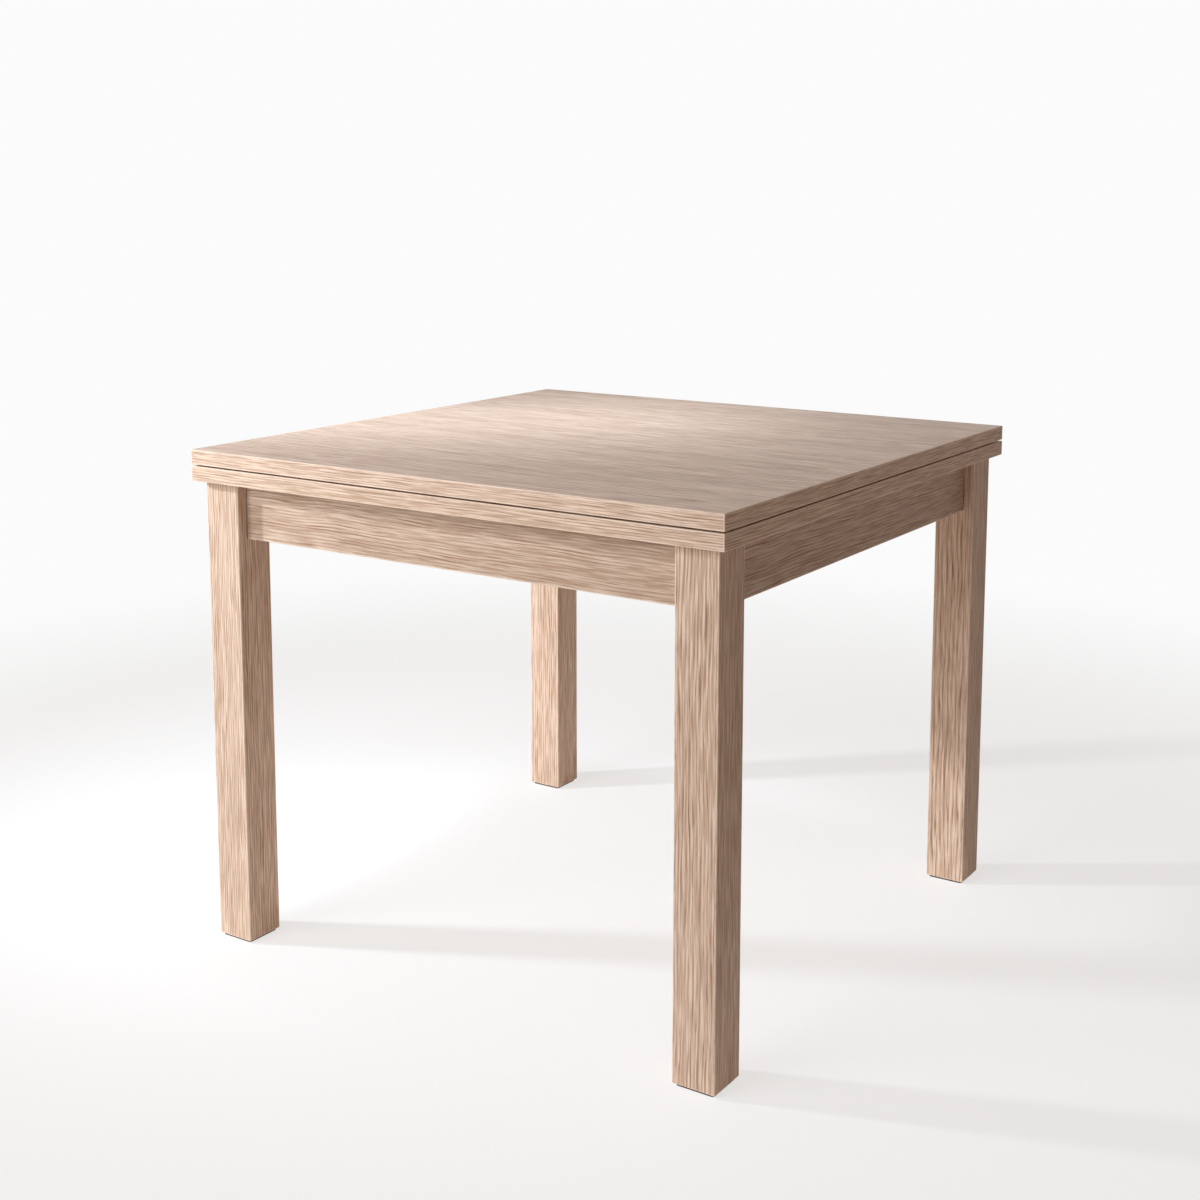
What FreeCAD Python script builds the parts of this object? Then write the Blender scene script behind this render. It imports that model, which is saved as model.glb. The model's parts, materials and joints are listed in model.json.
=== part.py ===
import FreeCAD, Part
import math
import os

from FreeCAD import Vector

# Square dining table. Its top is two equal leaves, one folded on the other like a closed book.
# The stack turns a quarter on an off-centre pivot, then the upper leaf folds out beside the lower one.
# Millimetres, +Z up. The origin is on the floor under the centre of the closed top, and the front faces -Y.

# The whole table
top_side = 900.0
table_height = 750.0

# Fits: a cutter passes its face by the overrun, a fastener has the fit round it, a turning pin has its own,
# and places nearer than a hair are the same place
overrun = 6.0
fit = 0.1
running_fit = 0.05
hair = 1e-6

# Leaves: veneered boards with a band glued round the edge
leaf_thickness = 22.0
leaf_gap = 2.5
band_thickness = 2.0
leaf_edge_radius = 0.8

# Bumpers that hold the gap between the folded leaves
bumper_radius = 5.0
bumper_sink = 1.0
bumper_inset = 34.0

# Legs and their feet
leg_side = 63.0
leg_inset = 15.0
leg_edge_radius = 1.5
leg_foot_radius = 2.0
leg_corner_cut = 14.0
pad_side = 56.0
pad_thickness = 3.0
pad_corner_radius = 4.0

# Aprons, with the felt that steadies the top as it turns and just clears it at rest
apron_height = 82.0
apron_thickness = 22.0
apron_setback = 17.0
apron_edge_radius = 1.0
apron_end_bevel = 0.7
felt_width = 15.0
felt_space = 1.6
felt_clearance = 0.1
felt_end_margin = 40.0

# Dowels between aprons and legs
dowel_radius = 4.0
dowel_length = 40.0
dowel_edge_distance = 18.0
dowel_end_bevel = 1.2

# Corner brackets: bent sheet with hooked ends let into saw cuts in the aprons
bracket_sheet = 2.0
bracket_height = 58.0
bracket_flange = 26.0
bracket_bend_radius = 3.0
bracket_hook = 7.0
bracket_leg_gap = 4.0
saw_cut_slack = 0.2
bracket_screw_spread = 32.0

# Hanger bolts and flanged nuts that pull the legs to the brackets
bolt_radius = 4.0
bolt_hold = 36.0
bolt_tail = 5.0
bolt_clearance = 0.5
bolt_end_bevel = 0.8
nut_across_flats = 13.0
nut_height = 8.0
nut_flange_radius = 9.0
nut_flange_height = 1.6
nut_face_share = 0.95

# Wood screws: pan heads on the brackets, flush heads elsewhere, all with a cross recess for the driver,
# whose length and width are shares of the head's radius and its depth a share of the head's height
pan_screw_radius = 2.0
pan_screw_length = 16.0
pan_head_radius = 4.0
pan_head_height = 2.6
flush_screw_radius = 2.0
flush_head_radius = 4.0
flush_head_height = 2.2
screw_tip_length = 4.0
recess_length_share = 1.1
recess_width_share = 0.26
recess_depth_share = 0.65

# Rail across the frame that carries the pivot, on a cleat at each end
rail_width = 130.0
rail_thickness = 24.0
cleat_depth = 22.0
cleat_height = 34.0
cleat_end_margin = 6.0
cleat_screw_inset = 12.0
cleat_screw_step = 18.0
cleat_screw_length = 36.0
rail_screw_length = 42.0
rail_edge_radius = 1.5

# Pivot: two square plates with a slip washer between, a stud through a bush, and a stop pin in a curved slot
plate_side = 116.0
plate_thickness = 4.0
plate_corner_radius = 10.0
plate_screw_inset = 12.0
base_plate_screw_length = 20.0
top_plate_screw_length = 18.0
slip_washer_radius = 30.0
slip_washer_thickness = 2.0
stud_radius = 8.0
stud_rivet_radius = 6.0
stud_thread_radius = 6.0
stud_tail = 4.0
stud_end_bevel = 1.0
stud_clearance = 0.4
bush_wall = 3.0
bush_flange_radius = 17.0
bush_flange_thickness = 2.0
retainer_play = 0.2
retainer_radius = 17.0
retainer_thickness = 2.5
lock_nut_across_flats = 19.0
lock_nut_height = 11.0
lock_nut_collar_height = 3.0
lock_nut_collar_radius = 8.4
stop_pin_radius = 4.0
stop_pin_track = 42.0
stop_pin_end_gap = 0.5
stop_pin_end_bevel = 0.6
stop_slot_slack = 0.4
stop_slot_start_angle = 225.0
swivel_angle = 90.0

# Concealed flip hinges: a body let into each leaf's edge, joined by a link on two pins, one of them in a slot
hinge_end_inset = 130.0
hinge_plate_length = 62.0
hinge_plate_height = 12.0
hinge_plate_depth = 3.0
hinge_body_length = 30.0
hinge_body_depth = 14.0
hinge_cover = 1.5
hinge_pin_radius = 1.5
hinge_pin_length = 22.0
hinge_pin_depth = 3.5
hinge_open_gap = 1.0
link_end_radius = 3.0
link_width = 12.0
link_slack = 0.4
hinge_screw_length = 24.0
hinge_screw_spread = 46.0
hinge_screw_radius = 1.75
hinge_screw_head_radius = 3.4
hinge_screw_head_height = 1.9

# Levels, from the floor up
leaf_underside = table_height - leaf_gap - 2 * leaf_thickness
lower_face = leaf_underside + leaf_thickness
fold_plane = lower_face + leaf_gap / 2
frame_top = leaf_underside - felt_space
apron_bottom = frame_top - apron_height
top_plate_bottom = leaf_underside - plate_thickness
base_plate_top = top_plate_bottom - slip_washer_thickness
rail_top = base_plate_top - plate_thickness
rail_bottom = rail_top - rail_thickness
bush_bottom = rail_bottom - bush_flange_thickness
bracket_middle = frame_top - apron_height / 2

# Places in plan: half widths from the centre
top_half = top_side / 2
frame_half = top_half - leg_inset
leg_inner = frame_half - leg_side
apron_outer = frame_half - apron_setback
apron_inner = apron_outer - apron_thickness
apron_middle = apron_outer - apron_thickness / 2

# A quarter of the side each way from the centre, so that the open top lies centred after the quarter turn
pivot = Vector(-top_side / 4, top_side / 4, 0)

up = Vector(0, 0, 1)
down = Vector(0, 0, -1)
quarter_turn = 90
corner_names = ("front_left", "front_right", "rear_right", "rear_left")
side_names = ("front", "right", "rear", "left")

# A square's diagonal over its side, a hexagon's width over flats over its circle's radius,
# and the rise of a nut's bevel over its depth
diagonal_share = math.sqrt(2)
hexagon_share = math.sqrt(3)
nut_bevel_share = math.tan(math.radians(30))

# Hinges stand at the middle of the leaf's edge and near its ends
hinge_reach = top_half - hinge_end_inset
hinge_rows = {"front": -hinge_reach, "middle": 0, "rear": hinge_reach}


def block(x_range, y_range, z_range):
    """Box between two values on each axis."""
    size = [high - low for low, high in (x_range, y_range, z_range)]
    return Part.makeBox(*size, Vector(x_range[0], y_range[0], z_range[0]))


def rod(radius, start, end):
    """Round bar from one point to another."""
    return Part.makeCylinder(radius, (end - start).Length, start, end - start)


def ring(outer, inner, low, high):
    """Round washer or sleeve on the pivot axis."""
    shell = rod(outer, pivot + up * low, pivot + up * high)
    return shell.cut(rod(inner, pivot + up * (low - overrun), pivot + up * (high + overrun)))


def turned(shape, quarters):
    """Copy turned about the table's centre by quarter turns."""
    copy = shape.copy()
    copy.rotate(Vector(0, 0, 0), up, quarters * quarter_turn)
    return copy


def folded(shape):
    """Mirror image across the plane half way between the leaves."""
    return shape.mirror(Vector(0, 0, fold_plane), up)


def aimed(shape, place, direction):
    """Shape that was drawn along +Z from the origin, set at a place and pointed."""
    copy = shape.copy()
    copy.Placement = FreeCAD.Placement(place, FreeCAD.Rotation(up, direction))
    return copy


def edges_along(shape, axis):
    """Straight edges of a shape that run along an axis."""
    picked = []
    for edge in shape.Edges:
        run = edge.Vertexes[-1].Point - edge.Vertexes[0].Point
        if run.Length > 0 and run.cross(axis).Length < hair:
            picked.append(edge)
    return picked


def edges_at_level(shape, level):
    """Edges of a shape that lie in one level plane."""
    return [edge for edge in shape.Edges if all(abs(v.Z - level) < hair for v in edge.Vertexes)]


def round_edges(shape):
    """Edges of a shape that are whole circles."""
    return [edge for edge in shape.Edges if isinstance(edge.Curve, Part.Circle)]


def spun(points):
    """Solid turned about +Z from an outline of (radius, height) points."""
    outline = Part.makePolygon([Vector(radius, 0, height) for radius, height in points + points[:1]])
    return Part.Face(outline).revolve(Vector(0, 0, 0), up, 360)


def hexagon(across_flats, height):
    """Six-sided bar standing on the origin."""
    radius = across_flats / hexagon_share
    corners = [Vector(radius, 0, 0)]
    for step in range(1, 7):
        angle = math.radians(60 * step)
        corners.append(Vector(radius * math.cos(angle), radius * math.sin(angle), 0))
    return Part.Face(Part.makePolygon(corners)).extrude(up * height)


def nut_blank(across_flats, height):
    """Hexagon standing on the origin with its corners bevelled at both ends."""
    corner = across_flats / hexagon_share
    face = across_flats / 2 * nut_face_share
    rise = (corner - face) * nut_bevel_share
    points = [(0, 0), (face, 0), (corner, rise), (corner, height - rise), (face, height), (0, height)]
    return hexagon(across_flats, height).common(spun(points))


def cross_recessed(screw, head_radius, head_height, level):
    """Screw with a cross recess sunk into its head from the level of the head's face."""
    half_length = head_radius * recess_length_share / 2
    half_width = head_radius * recess_width_share / 2
    along = (-half_length, half_length)
    across = (-half_width, half_width)
    levels = (level - overrun, level + head_height * recess_depth_share)
    return screw.cut([block(along, across, levels), block(across, along, levels)])


def pan_screw():
    """Domed screw seated on the origin, its point going up +Z."""
    crown = pan_head_radius / 2
    points = [(0, -pan_head_height), (crown, -pan_head_height), (pan_head_radius, -pan_head_height / 3)]
    points += [(pan_head_radius, 0), (pan_screw_radius, 0)]
    points += [(pan_screw_radius, pan_screw_length - screw_tip_length), (0, pan_screw_length)]
    return cross_recessed(spun(points), pan_head_radius, pan_head_height, -pan_head_height)


def countersunk(length, radius, head_radius, head_height):
    """Countersunk blank with its head level with the origin, its point going up +Z."""
    points = [(0, 0), (head_radius, 0), (radius, head_height)]
    points += [(radius, length - screw_tip_length), (0, length)]
    return spun(points)


def flush_screw(length):
    """Wood screw with a flush head."""
    blank = countersunk(length, flush_screw_radius, flush_head_radius, flush_head_height)
    return cross_recessed(blank, flush_head_radius, flush_head_height, 0)


def flush_hole(length):
    """Hole for a flush screw."""
    return countersunk(length + fit, flush_screw_radius + fit, flush_head_radius + fit, flush_head_height)


def save(node, *solids):
    """Write one node of the table."""
    shape = solids[0] if len(solids) == 1 else Part.makeCompound(solids)
    shape.exportStep(os.path.join("parts", node + ".step"))


# Corner of the frame, drawn at the front left and turned to the other three

def corner_point(across, along, height):
    """Point measured in from the outer corner of the front left leg."""
    return Vector(across - frame_half, along - frame_half, height)


def diagonal_point(distance):
    """Point on the corner's diagonal at the brackets' middle height, measured from the leg's outer corner."""
    step = distance / diagonal_share
    return corner_point(step, step, bracket_middle)


apron_face = apron_setback + apron_thickness
corner_cut_distance = leg_side * diagonal_share - leg_corner_cut / diagonal_share
web_distance = corner_cut_distance + bracket_leg_gap
bend_start = web_distance * diagonal_share - apron_face
flange_end = bend_start + bracket_flange
inward = Vector(1, 1, 0).normalize()


def bracket_screws(shape):
    """The four screws, or their holes, of the front left bracket."""
    across = bend_start + bracket_flange / 2
    placed = []
    for side in (-1, 1):
        height = bracket_middle + side * bracket_screw_spread / 2
        seat = apron_face + bracket_sheet
        placed.append(aimed(shape, corner_point(across, seat, height), Vector(0, -1, 0)))
        placed.append(aimed(shape, corner_point(seat, across, height), Vector(-1, 0, 0)))
    return placed


def bracket():
    """Bent plate across the corner, with a hook at each end and a hole for the bolt."""
    inner_bend = (web_distance + bracket_sheet) * diagonal_share - apron_face - bracket_sheet
    half = [(flange_end - bracket_sheet, apron_face - bracket_hook), (flange_end, apron_face - bracket_hook)]
    half += [(flange_end, apron_face + bracket_sheet), (inner_bend, apron_face + bracket_sheet)]
    other_half = [(along, across) for across, along in reversed(half)]
    back = [(apron_face, flange_end - bracket_sheet), (apron_face, bend_start)]
    back += [(bend_start, apron_face), (flange_end - bracket_sheet, apron_face)]
    low = bracket_middle - bracket_height / 2
    points = [corner_point(across, along, low) for across, along in half + other_half + back]
    plate = Part.Face(Part.makePolygon(points + points[:1])).extrude(up * bracket_height)
    bends = [(bend_start, apron_face), (inner_bend, apron_face + bracket_sheet)]
    bends += [(along, across) for across, along in bends]
    places = [corner_point(across, along, bracket_middle) for across, along in bends]
    upright = edges_along(plate, up)
    rounded = [edge for edge in upright if min(edge.CenterOfMass.distanceToPoint(p) for p in places) < fit]
    plate = plate.makeFillet(bracket_bend_radius, rounded)
    clear = bolt_radius + bolt_clearance
    bolt_hole = rod(clear, diagonal_point(corner_cut_distance), diagonal_point(web_distance + overrun))
    screw_hole = Part.makeCylinder(pan_screw_radius + fit, overrun, Vector(0, 0, -overrun / 2))
    return plate.cut([bolt_hole] + bracket_screws(screw_hole))


def saw_cuts():
    """Cuts in the two aprons at the front left corner that take the bracket's hooks."""
    near = flange_end - bracket_sheet - saw_cut_slack
    far = flange_end + saw_cut_slack
    deep = apron_face - bracket_hook - saw_cut_slack
    low = apron_bottom - overrun
    high = frame_top + overrun
    first = corner_point(near, deep, low)
    last = corner_point(far, apron_face + overrun, high)
    cut = block((first.x, last.x), (first.y, last.y), (first.z, last.z))
    turned_cut = block((first.y, last.y), (first.x, last.x), (first.z, last.z))
    return [cut, turned_cut]


def front_dowels(radius, length):
    """The four dowels of the front apron, or their holes."""
    pegs = []
    for side in (-1, 1):
        for height in (apron_bottom + dowel_edge_distance, frame_top - dowel_edge_distance):
            start = Vector(side * leg_inner - length / 2, -apron_middle, height)
            pegs.append(rod(radius, start, start + Vector(length, 0, 0)))
    return pegs


def hanger_bolt():
    """Double-ended bolt along the diagonal, held in the leg."""
    end = web_distance + bracket_sheet + nut_height + bolt_tail
    bar = rod(bolt_radius, diagonal_point(corner_cut_distance - bolt_hold), diagonal_point(end))
    return bar.makeChamfer(bolt_end_bevel, round_edges(bar))


def hanger_nut():
    """Flanged nut against the bracket."""
    flange = Part.makeCylinder(nut_flange_radius, nut_flange_height)
    hexed = flange.fuse(nut_blank(nut_across_flats, nut_height))
    bore = Part.makeCylinder(bolt_radius + running_fit, nut_height + 2 * overrun, Vector(0, 0, -overrun))
    return aimed(hexed.cut(bore).removeSplitter(), diagonal_point(web_distance + bracket_sheet), inward)


def leg():
    """Front left leg with its inner top corner cut off for the bolt, and holes for dowels and bolt."""
    span = (-frame_half, -leg_inner)
    post = block(span, span, (pad_thickness, frame_top))
    post = post.makeFillet(leg_edge_radius, edges_along(post, up))
    post = post.makeFillet(leg_foot_radius, edges_at_level(post, pad_thickness))
    reach = leg_side * diagonal_share
    corner = block((0, reach), (-reach, reach), (apron_bottom, frame_top + overrun))
    corner.rotate(Vector(0, 0, 0), up, 45)
    corner.translate(diagonal_point(corner_cut_distance) - up * bracket_middle)
    start = diagonal_point(corner_cut_distance - bolt_hold - fit)
    bolt_hole = rod(bolt_radius + fit, start, diagonal_point(corner_cut_distance + overrun))
    pegs = front_dowels(dowel_radius + fit, dowel_length + 2 * fit)
    pegs += [turned(peg, -1) for peg in pegs]
    return post.cut([corner, bolt_hole] + pegs)


def foot_pad():
    """Pad under the front left leg."""
    middle = -frame_half + leg_side / 2
    span = (middle - pad_side / 2, middle + pad_side / 2)
    pad = block(span, span, (0, pad_thickness))
    return pad.makeFillet(pad_corner_radius, edges_along(pad, up))


def apron():
    """Front apron with its bevelled ends, dowel holes, saw cuts and screw holes."""
    board = block((-leg_inner, leg_inner), (-apron_outer, -apron_inner), (apron_bottom, frame_top))
    face_ends = [edge for edge in edges_along(board, up) if edge.CenterOfMass.y < -apron_middle]
    board = board.makeChamfer(apron_end_bevel, face_ends)
    low_edges = [edge for edge in edges_along(board, Vector(1, 0, 0)) if edge.CenterOfMass.z < bracket_middle]
    board = board.makeFillet(apron_edge_radius, low_edges)
    screw = Part.makeCylinder(pan_screw_radius + fit, pan_screw_length + fit)
    cutters = bracket_screws(screw) + saw_cuts()
    cutters += [turned(cutter, 1) for cutter in cutters]
    return board.cut(cutters + front_dowels(dowel_radius + fit, dowel_length + 2 * fit))


def slide_felt():
    """Felt strip along the top of the front apron."""
    half = leg_inner - felt_end_margin
    across = (-apron_middle - felt_width / 2, -apron_middle + felt_width / 2)
    return block((-half, half), across, (frame_top, leaf_underside - felt_clearance))


# Rail and cleats under the pivot

cleat_half = rail_width / 2 - cleat_end_margin


def rail_screws(shape):
    """Screws down through the rail into the cleats, or their holes."""
    placed = []
    for end in (-1, 1):
        for side in (-1, 1):
            across = pivot.x + side * (cleat_half - cleat_screw_inset - cleat_screw_step)
            along = end * (apron_inner - cleat_depth / 2)
            placed.append(aimed(shape, Vector(across, along, rail_top), down))
    return placed


def cleat_screws(shape):
    """Screws through the cleats into the front and rear aprons, or their holes."""
    placed = []
    for end in (-1, 1):
        for side in (-1, 1):
            across = pivot.x + side * (cleat_half - cleat_screw_inset)
            seat = Vector(across, end * (apron_inner - cleat_depth), rail_bottom - cleat_height / 2)
            placed.append(aimed(shape, seat, Vector(0, end, 0)))
    return placed


def cleat():
    """Front cleat."""
    across = (pivot.x - cleat_half, pivot.x + cleat_half)
    wood = block(across, (-apron_inner, cleat_depth - apron_inner), (rail_bottom - cleat_height, rail_bottom))
    low_edges = edges_at_level(wood, rail_bottom - cleat_height)
    inner_edge = max(low_edges, key=lambda edge: edge.CenterOfMass.y)
    return wood.makeFillet(rail_edge_radius, [inner_edge])


def rail():
    """Board between the front and rear aprons, bored for the bush."""
    across = (pivot.x - rail_width / 2, pivot.x + rail_width / 2)
    board = block(across, (-apron_inner, apron_inner), (rail_bottom, rail_top))
    board = board.makeFillet(rail_edge_radius, edges_along(board, Vector(0, 1, 0)))
    bore_radius = stud_radius + bush_wall + fit
    bore = rod(bore_radius, pivot + up * (rail_bottom - overrun), pivot + up * (rail_top + overrun))
    holes = rail_screws(flush_hole(rail_screw_length))
    holes += plate_screws(flush_hole(base_plate_screw_length), base_plate_top, down)
    return board.cut([bore] + holes)


# Pivot

def plate_corners(level):
    """Screw places of the square pivot plates."""
    reach = plate_side / 2 - plate_screw_inset
    signs = ((-1, -1), (1, -1), (1, 1), (-1, 1))
    return [pivot + Vector(across * reach, along * reach, level) for across, along in signs]


def plate_screws(shape, level, direction):
    """Screws, or their holes, at a plate's corners: down into the rail or up into the lower leaf."""
    return [aimed(shape, place, direction) for place in plate_corners(level)]


def plate_blank(low):
    """Square plate with rounded corners, centred on the pivot."""
    half = plate_side / 2
    across = (pivot.x - half, pivot.x + half)
    along = (pivot.y - half, pivot.y + half)
    plate = block(across, along, (low, low + plate_thickness))
    return plate.makeFillet(plate_corner_radius, edges_along(plate, up))


def track_point(angle, level):
    """Point on the circle that the stop pin follows about the pivot."""
    turn = math.radians(angle)
    return pivot + Vector(stop_pin_track * math.cos(turn), stop_pin_track * math.sin(turn), level)


def stop_slot():
    """Curved slot that lets the stop pin travel a quarter turn."""
    extra = math.degrees(stop_pin_end_gap / stop_pin_track)
    half = stop_pin_radius + stop_slot_slack
    first = stop_slot_start_angle - extra
    last = stop_slot_start_angle + swivel_angle + extra
    low = rail_top - overrun
    high = base_plate_top + overrun
    inner = stop_pin_track - half
    outer = stop_pin_track + half
    section = [(inner, low), (outer, low), (outer, high), (inner, high), (inner, low)]
    outline = Part.makePolygon([pivot + Vector(reach, 0, level) for reach, level in section])
    sweep = Part.Face(outline).revolve(pivot, up, last - first)
    sweep.rotate(pivot, up, first)
    ends = [rod(half, track_point(angle, low), track_point(angle, high)) for angle in (first, last)]
    return ends[0].fuse([sweep, ends[1]])


def base_plate():
    """Plate on the rail, with the stud's hole and the stop slot."""
    clear = rod(stud_radius + stud_clearance, pivot + up * rail_bottom, pivot + up * leaf_underside)
    holes = plate_screws(flush_hole(base_plate_screw_length), base_plate_top, down)
    return plate_blank(rail_top).cut([clear, stop_slot()] + holes)


def top_plate():
    """Plate under the lower leaf, with seats for the stud and the stop pin."""
    rivet = rod(stud_rivet_radius + running_fit, pivot + up * rail_top, pivot + up * lower_face)
    peg = stop_pin(stop_pin_radius + running_fit, overrun)
    holes = plate_screws(flush_hole(top_plate_screw_length), top_plate_bottom, up)
    return plate_blank(top_plate_bottom).cut([rivet, peg] + holes)


def stop_pin(radius, extra=0):
    """Pin that runs in the base plate's slot, just clear of the rail."""
    low = track_point(stop_slot_start_angle, rail_top + stop_pin_end_gap)
    peg = rod(radius, low, track_point(stop_slot_start_angle, leaf_underside + extra))
    return peg.makeChamfer(stop_pin_end_bevel, edges_at_level(peg, low.z))


def stud():
    """Turned stud: riveted in the top plate, running in the bush, with a tail for the lock nut."""
    shoulder = bush_bottom - retainer_play
    tail = shoulder - retainer_thickness - lock_nut_height - stud_tail
    points = [(0, leaf_underside), (stud_rivet_radius, leaf_underside), (stud_rivet_radius, top_plate_bottom)]
    points += [(stud_radius, top_plate_bottom), (stud_radius, shoulder), (stud_thread_radius, shoulder)]
    points += [(stud_thread_radius, tail + stud_end_bevel)]
    points += [(stud_thread_radius - stud_end_bevel, tail), (0, tail)]
    shape = spun(points)
    shape.translate(pivot)
    return shape


def bush():
    """Flanged bearing in the rail."""
    sleeve = rod(stud_radius + bush_wall, pivot + up * rail_bottom, pivot + up * rail_top)
    flange = rod(bush_flange_radius, pivot + up * bush_bottom, pivot + up * rail_bottom)
    bore = rod(stud_radius + running_fit, pivot + up * (bush_bottom - overrun), pivot + up * base_plate_top)
    return sleeve.fuse(flange).cut(bore).removeSplitter()


def lock_nut():
    """Nut on the stud's tail, under the retaining washer, with the round collar of its locking ring below."""
    high = bush_bottom - retainer_play - retainer_thickness
    low = high - lock_nut_height
    hex_low = low + lock_nut_collar_height
    hexed = nut_blank(lock_nut_across_flats, high - hex_low)
    hexed.translate(pivot + up * hex_low)
    collar = rod(lock_nut_collar_radius, pivot + up * low, pivot + up * (hex_low + lock_nut_collar_height))
    nut = hexed.fuse(collar).removeSplitter()
    return nut.cut(rod(stud_thread_radius + running_fit, pivot, pivot + up * rail_top))


# Flip hinges, drawn in the lower leaf and mirrored into the upper one. The upper leaf turns about a line
# half way up the gap and half the open gap outside the edge. Both pins stand on a diagonal from that line,
# so they part from one side of a square to its diagonal as the leaf goes over, and the link's slot allows it.

hinge_pin_inset = hinge_pin_depth + (leaf_gap - hinge_open_gap) / 2
hinge_middle = lower_face - hinge_cover - hinge_plate_height / 2
pins_folded = 2 * hinge_pin_depth + leaf_gap
link_travel = pins_folded * diagonal_share - pins_folded
lower_tail = link_end_radius
upper_tail = link_end_radius + link_travel


def hinge_pin_place(row):
    """Middle of the pin in the lower leaf."""
    return Vector(hinge_pin_inset - top_half, row, lower_face - hinge_pin_depth)


def hinge_blank(row, slack=0):
    """Plate with round ends on the leaf's edge, and the deeper body behind it."""
    radius = hinge_plate_height / 2 + slack
    reach = hinge_plate_length / 2 - hinge_plate_height / 2
    front = -top_half - slack
    back = hinge_plate_depth - top_half
    ends = []
    for side in (-1, 1):
        place = Vector(front, row + side * reach, hinge_middle)
        ends.append(rod(radius, place, place + Vector(back - front, 0, 0)))
    levels = (hinge_middle - radius, hinge_middle + radius)
    plate = block((front, back), (row - reach, row + reach), levels)
    half = hinge_body_length / 2 + slack
    body = block((front, hinge_body_depth - top_half + slack), (row - half, row + half), levels)
    return plate.fuse(ends + [body]).removeSplitter()


def link_slot(row, tail):
    """Room for the link and its tail past the pin, open to the edge and to the inner face."""
    half = link_width / 2 + link_slack
    reach = tail + link_slack
    place = hinge_pin_place(row)
    across = (-top_half - overrun, place.x + reach)
    return block(across, (row - half, row + half), (place.z - reach, lower_face + overrun))


def hinge_pin(row, radius, length):
    """Pin that the link turns on, or its hole."""
    start = hinge_pin_place(row) - Vector(0, length / 2, 0)
    return rod(radius, start, start + Vector(0, length, 0))


def hinge_screws(row, shape):
    """Two screws through the plate into the leaf's edge, or their holes."""
    rows = (row - hinge_screw_spread / 2, row + hinge_screw_spread / 2)
    return [aimed(shape, Vector(-top_half, along, hinge_middle), Vector(1, 0, 0)) for along in rows]


def hinge_screw():
    """Small countersunk screw."""
    head_radius = hinge_screw_head_radius
    blank = countersunk(hinge_screw_length, hinge_screw_radius, head_radius, hinge_screw_head_height)
    return cross_recessed(blank, head_radius, hinge_screw_head_height, 0)


def hinge_screw_hole():
    """Hole for the small screw."""
    radius = hinge_screw_radius + fit
    head_radius = hinge_screw_head_radius + fit
    return countersunk(hinge_screw_length + fit, radius, head_radius, hinge_screw_head_height)


def hinge_body(row, tail):
    """Body in the lower leaf's edge."""
    pin_hole = hinge_pin(row, hinge_pin_radius + running_fit, hinge_pin_length + 2 * fit)
    return hinge_blank(row).cut([link_slot(row, tail), pin_hole] + hinge_screws(row, hinge_screw_hole()))


def round_ended(low, high, radius, width):
    """Upright bar with round ends about two points, as wide along the edge as asked."""
    side = Vector(radius, 0, 0)
    foot = Part.Arc(low - side, low - up * radius, low + side).toShape()
    head = Part.Arc(high + side, high + up * radius, high - side).toShape()
    runs = [Part.makeLine(low + side, high + side), Part.makeLine(high - side, low - side)]
    bar = Part.Face(Part.Wire([foot, runs[0], head, runs[1]])).extrude(Vector(0, width, 0))
    bar.translate(Vector(0, -width / 2, 0))
    return bar


def hinge_link(row):
    """Link on the two pins, upright while the leaves are folded, with its slot for the upper pin."""
    lower_pin = hinge_pin_place(row)
    upper_pin = lower_pin + up * pins_folded
    slot_end = upper_pin + up * link_travel
    bore_radius = hinge_pin_radius + running_fit
    bore = hinge_pin(row, bore_radius, link_width + 2 * overrun)
    slot = round_ended(upper_pin, slot_end, bore_radius, link_width + 2 * overrun)
    return round_ended(lower_pin, slot_end, link_end_radius, link_width).cut([bore, slot])


def hinge_cutters(tail):
    """Everything that the hinges take out of a leaf."""
    cutters = []
    for row in hinge_rows.values():
        cutters += [hinge_blank(row, fit), link_slot(row, tail)]
        cutters += hinge_screws(row, hinge_screw_hole())
    return cutters


# Leaves, drawn as the lower one and mirrored for the upper one

def leaf_blank():
    """Whole leaf with softened edges."""
    span = (-top_half, top_half)
    board = block(span, span, (leaf_underside, lower_face))
    return board.makeFillet(leaf_edge_radius, board.Edges)


def leaf_pieces():
    """The leaf cut into its board and the four bands glued round it."""
    blank = leaf_blank()
    core = top_half - band_thickness
    full = (-top_half - overrun, top_half + overrun)
    inside = (-core, core)
    levels = (leaf_underside - overrun, lower_face + overrun)
    pieces = {"panel": block(inside, inside, levels)}
    pieces["band_front"] = block(full, (full[0], -core), levels)
    pieces["band_rear"] = block(full, (core, full[1]), levels)
    pieces["band_free_edge"] = block((core, full[1]), inside, levels)
    pieces["band_hinge_edge"] = block((full[0], -core), inside, levels)
    return {name: blank.common(piece) for name, piece in pieces.items()}


def bumpers(radius, low, high):
    """Bumpers near the leaf's corners, or their sockets."""
    reach = top_half - bumper_inset
    places = [Vector(across, along, 0) for across in (-reach, reach) for along in (-reach, reach)]
    return [rod(radius, place + up * low, place + up * high) for place in places]


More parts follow.
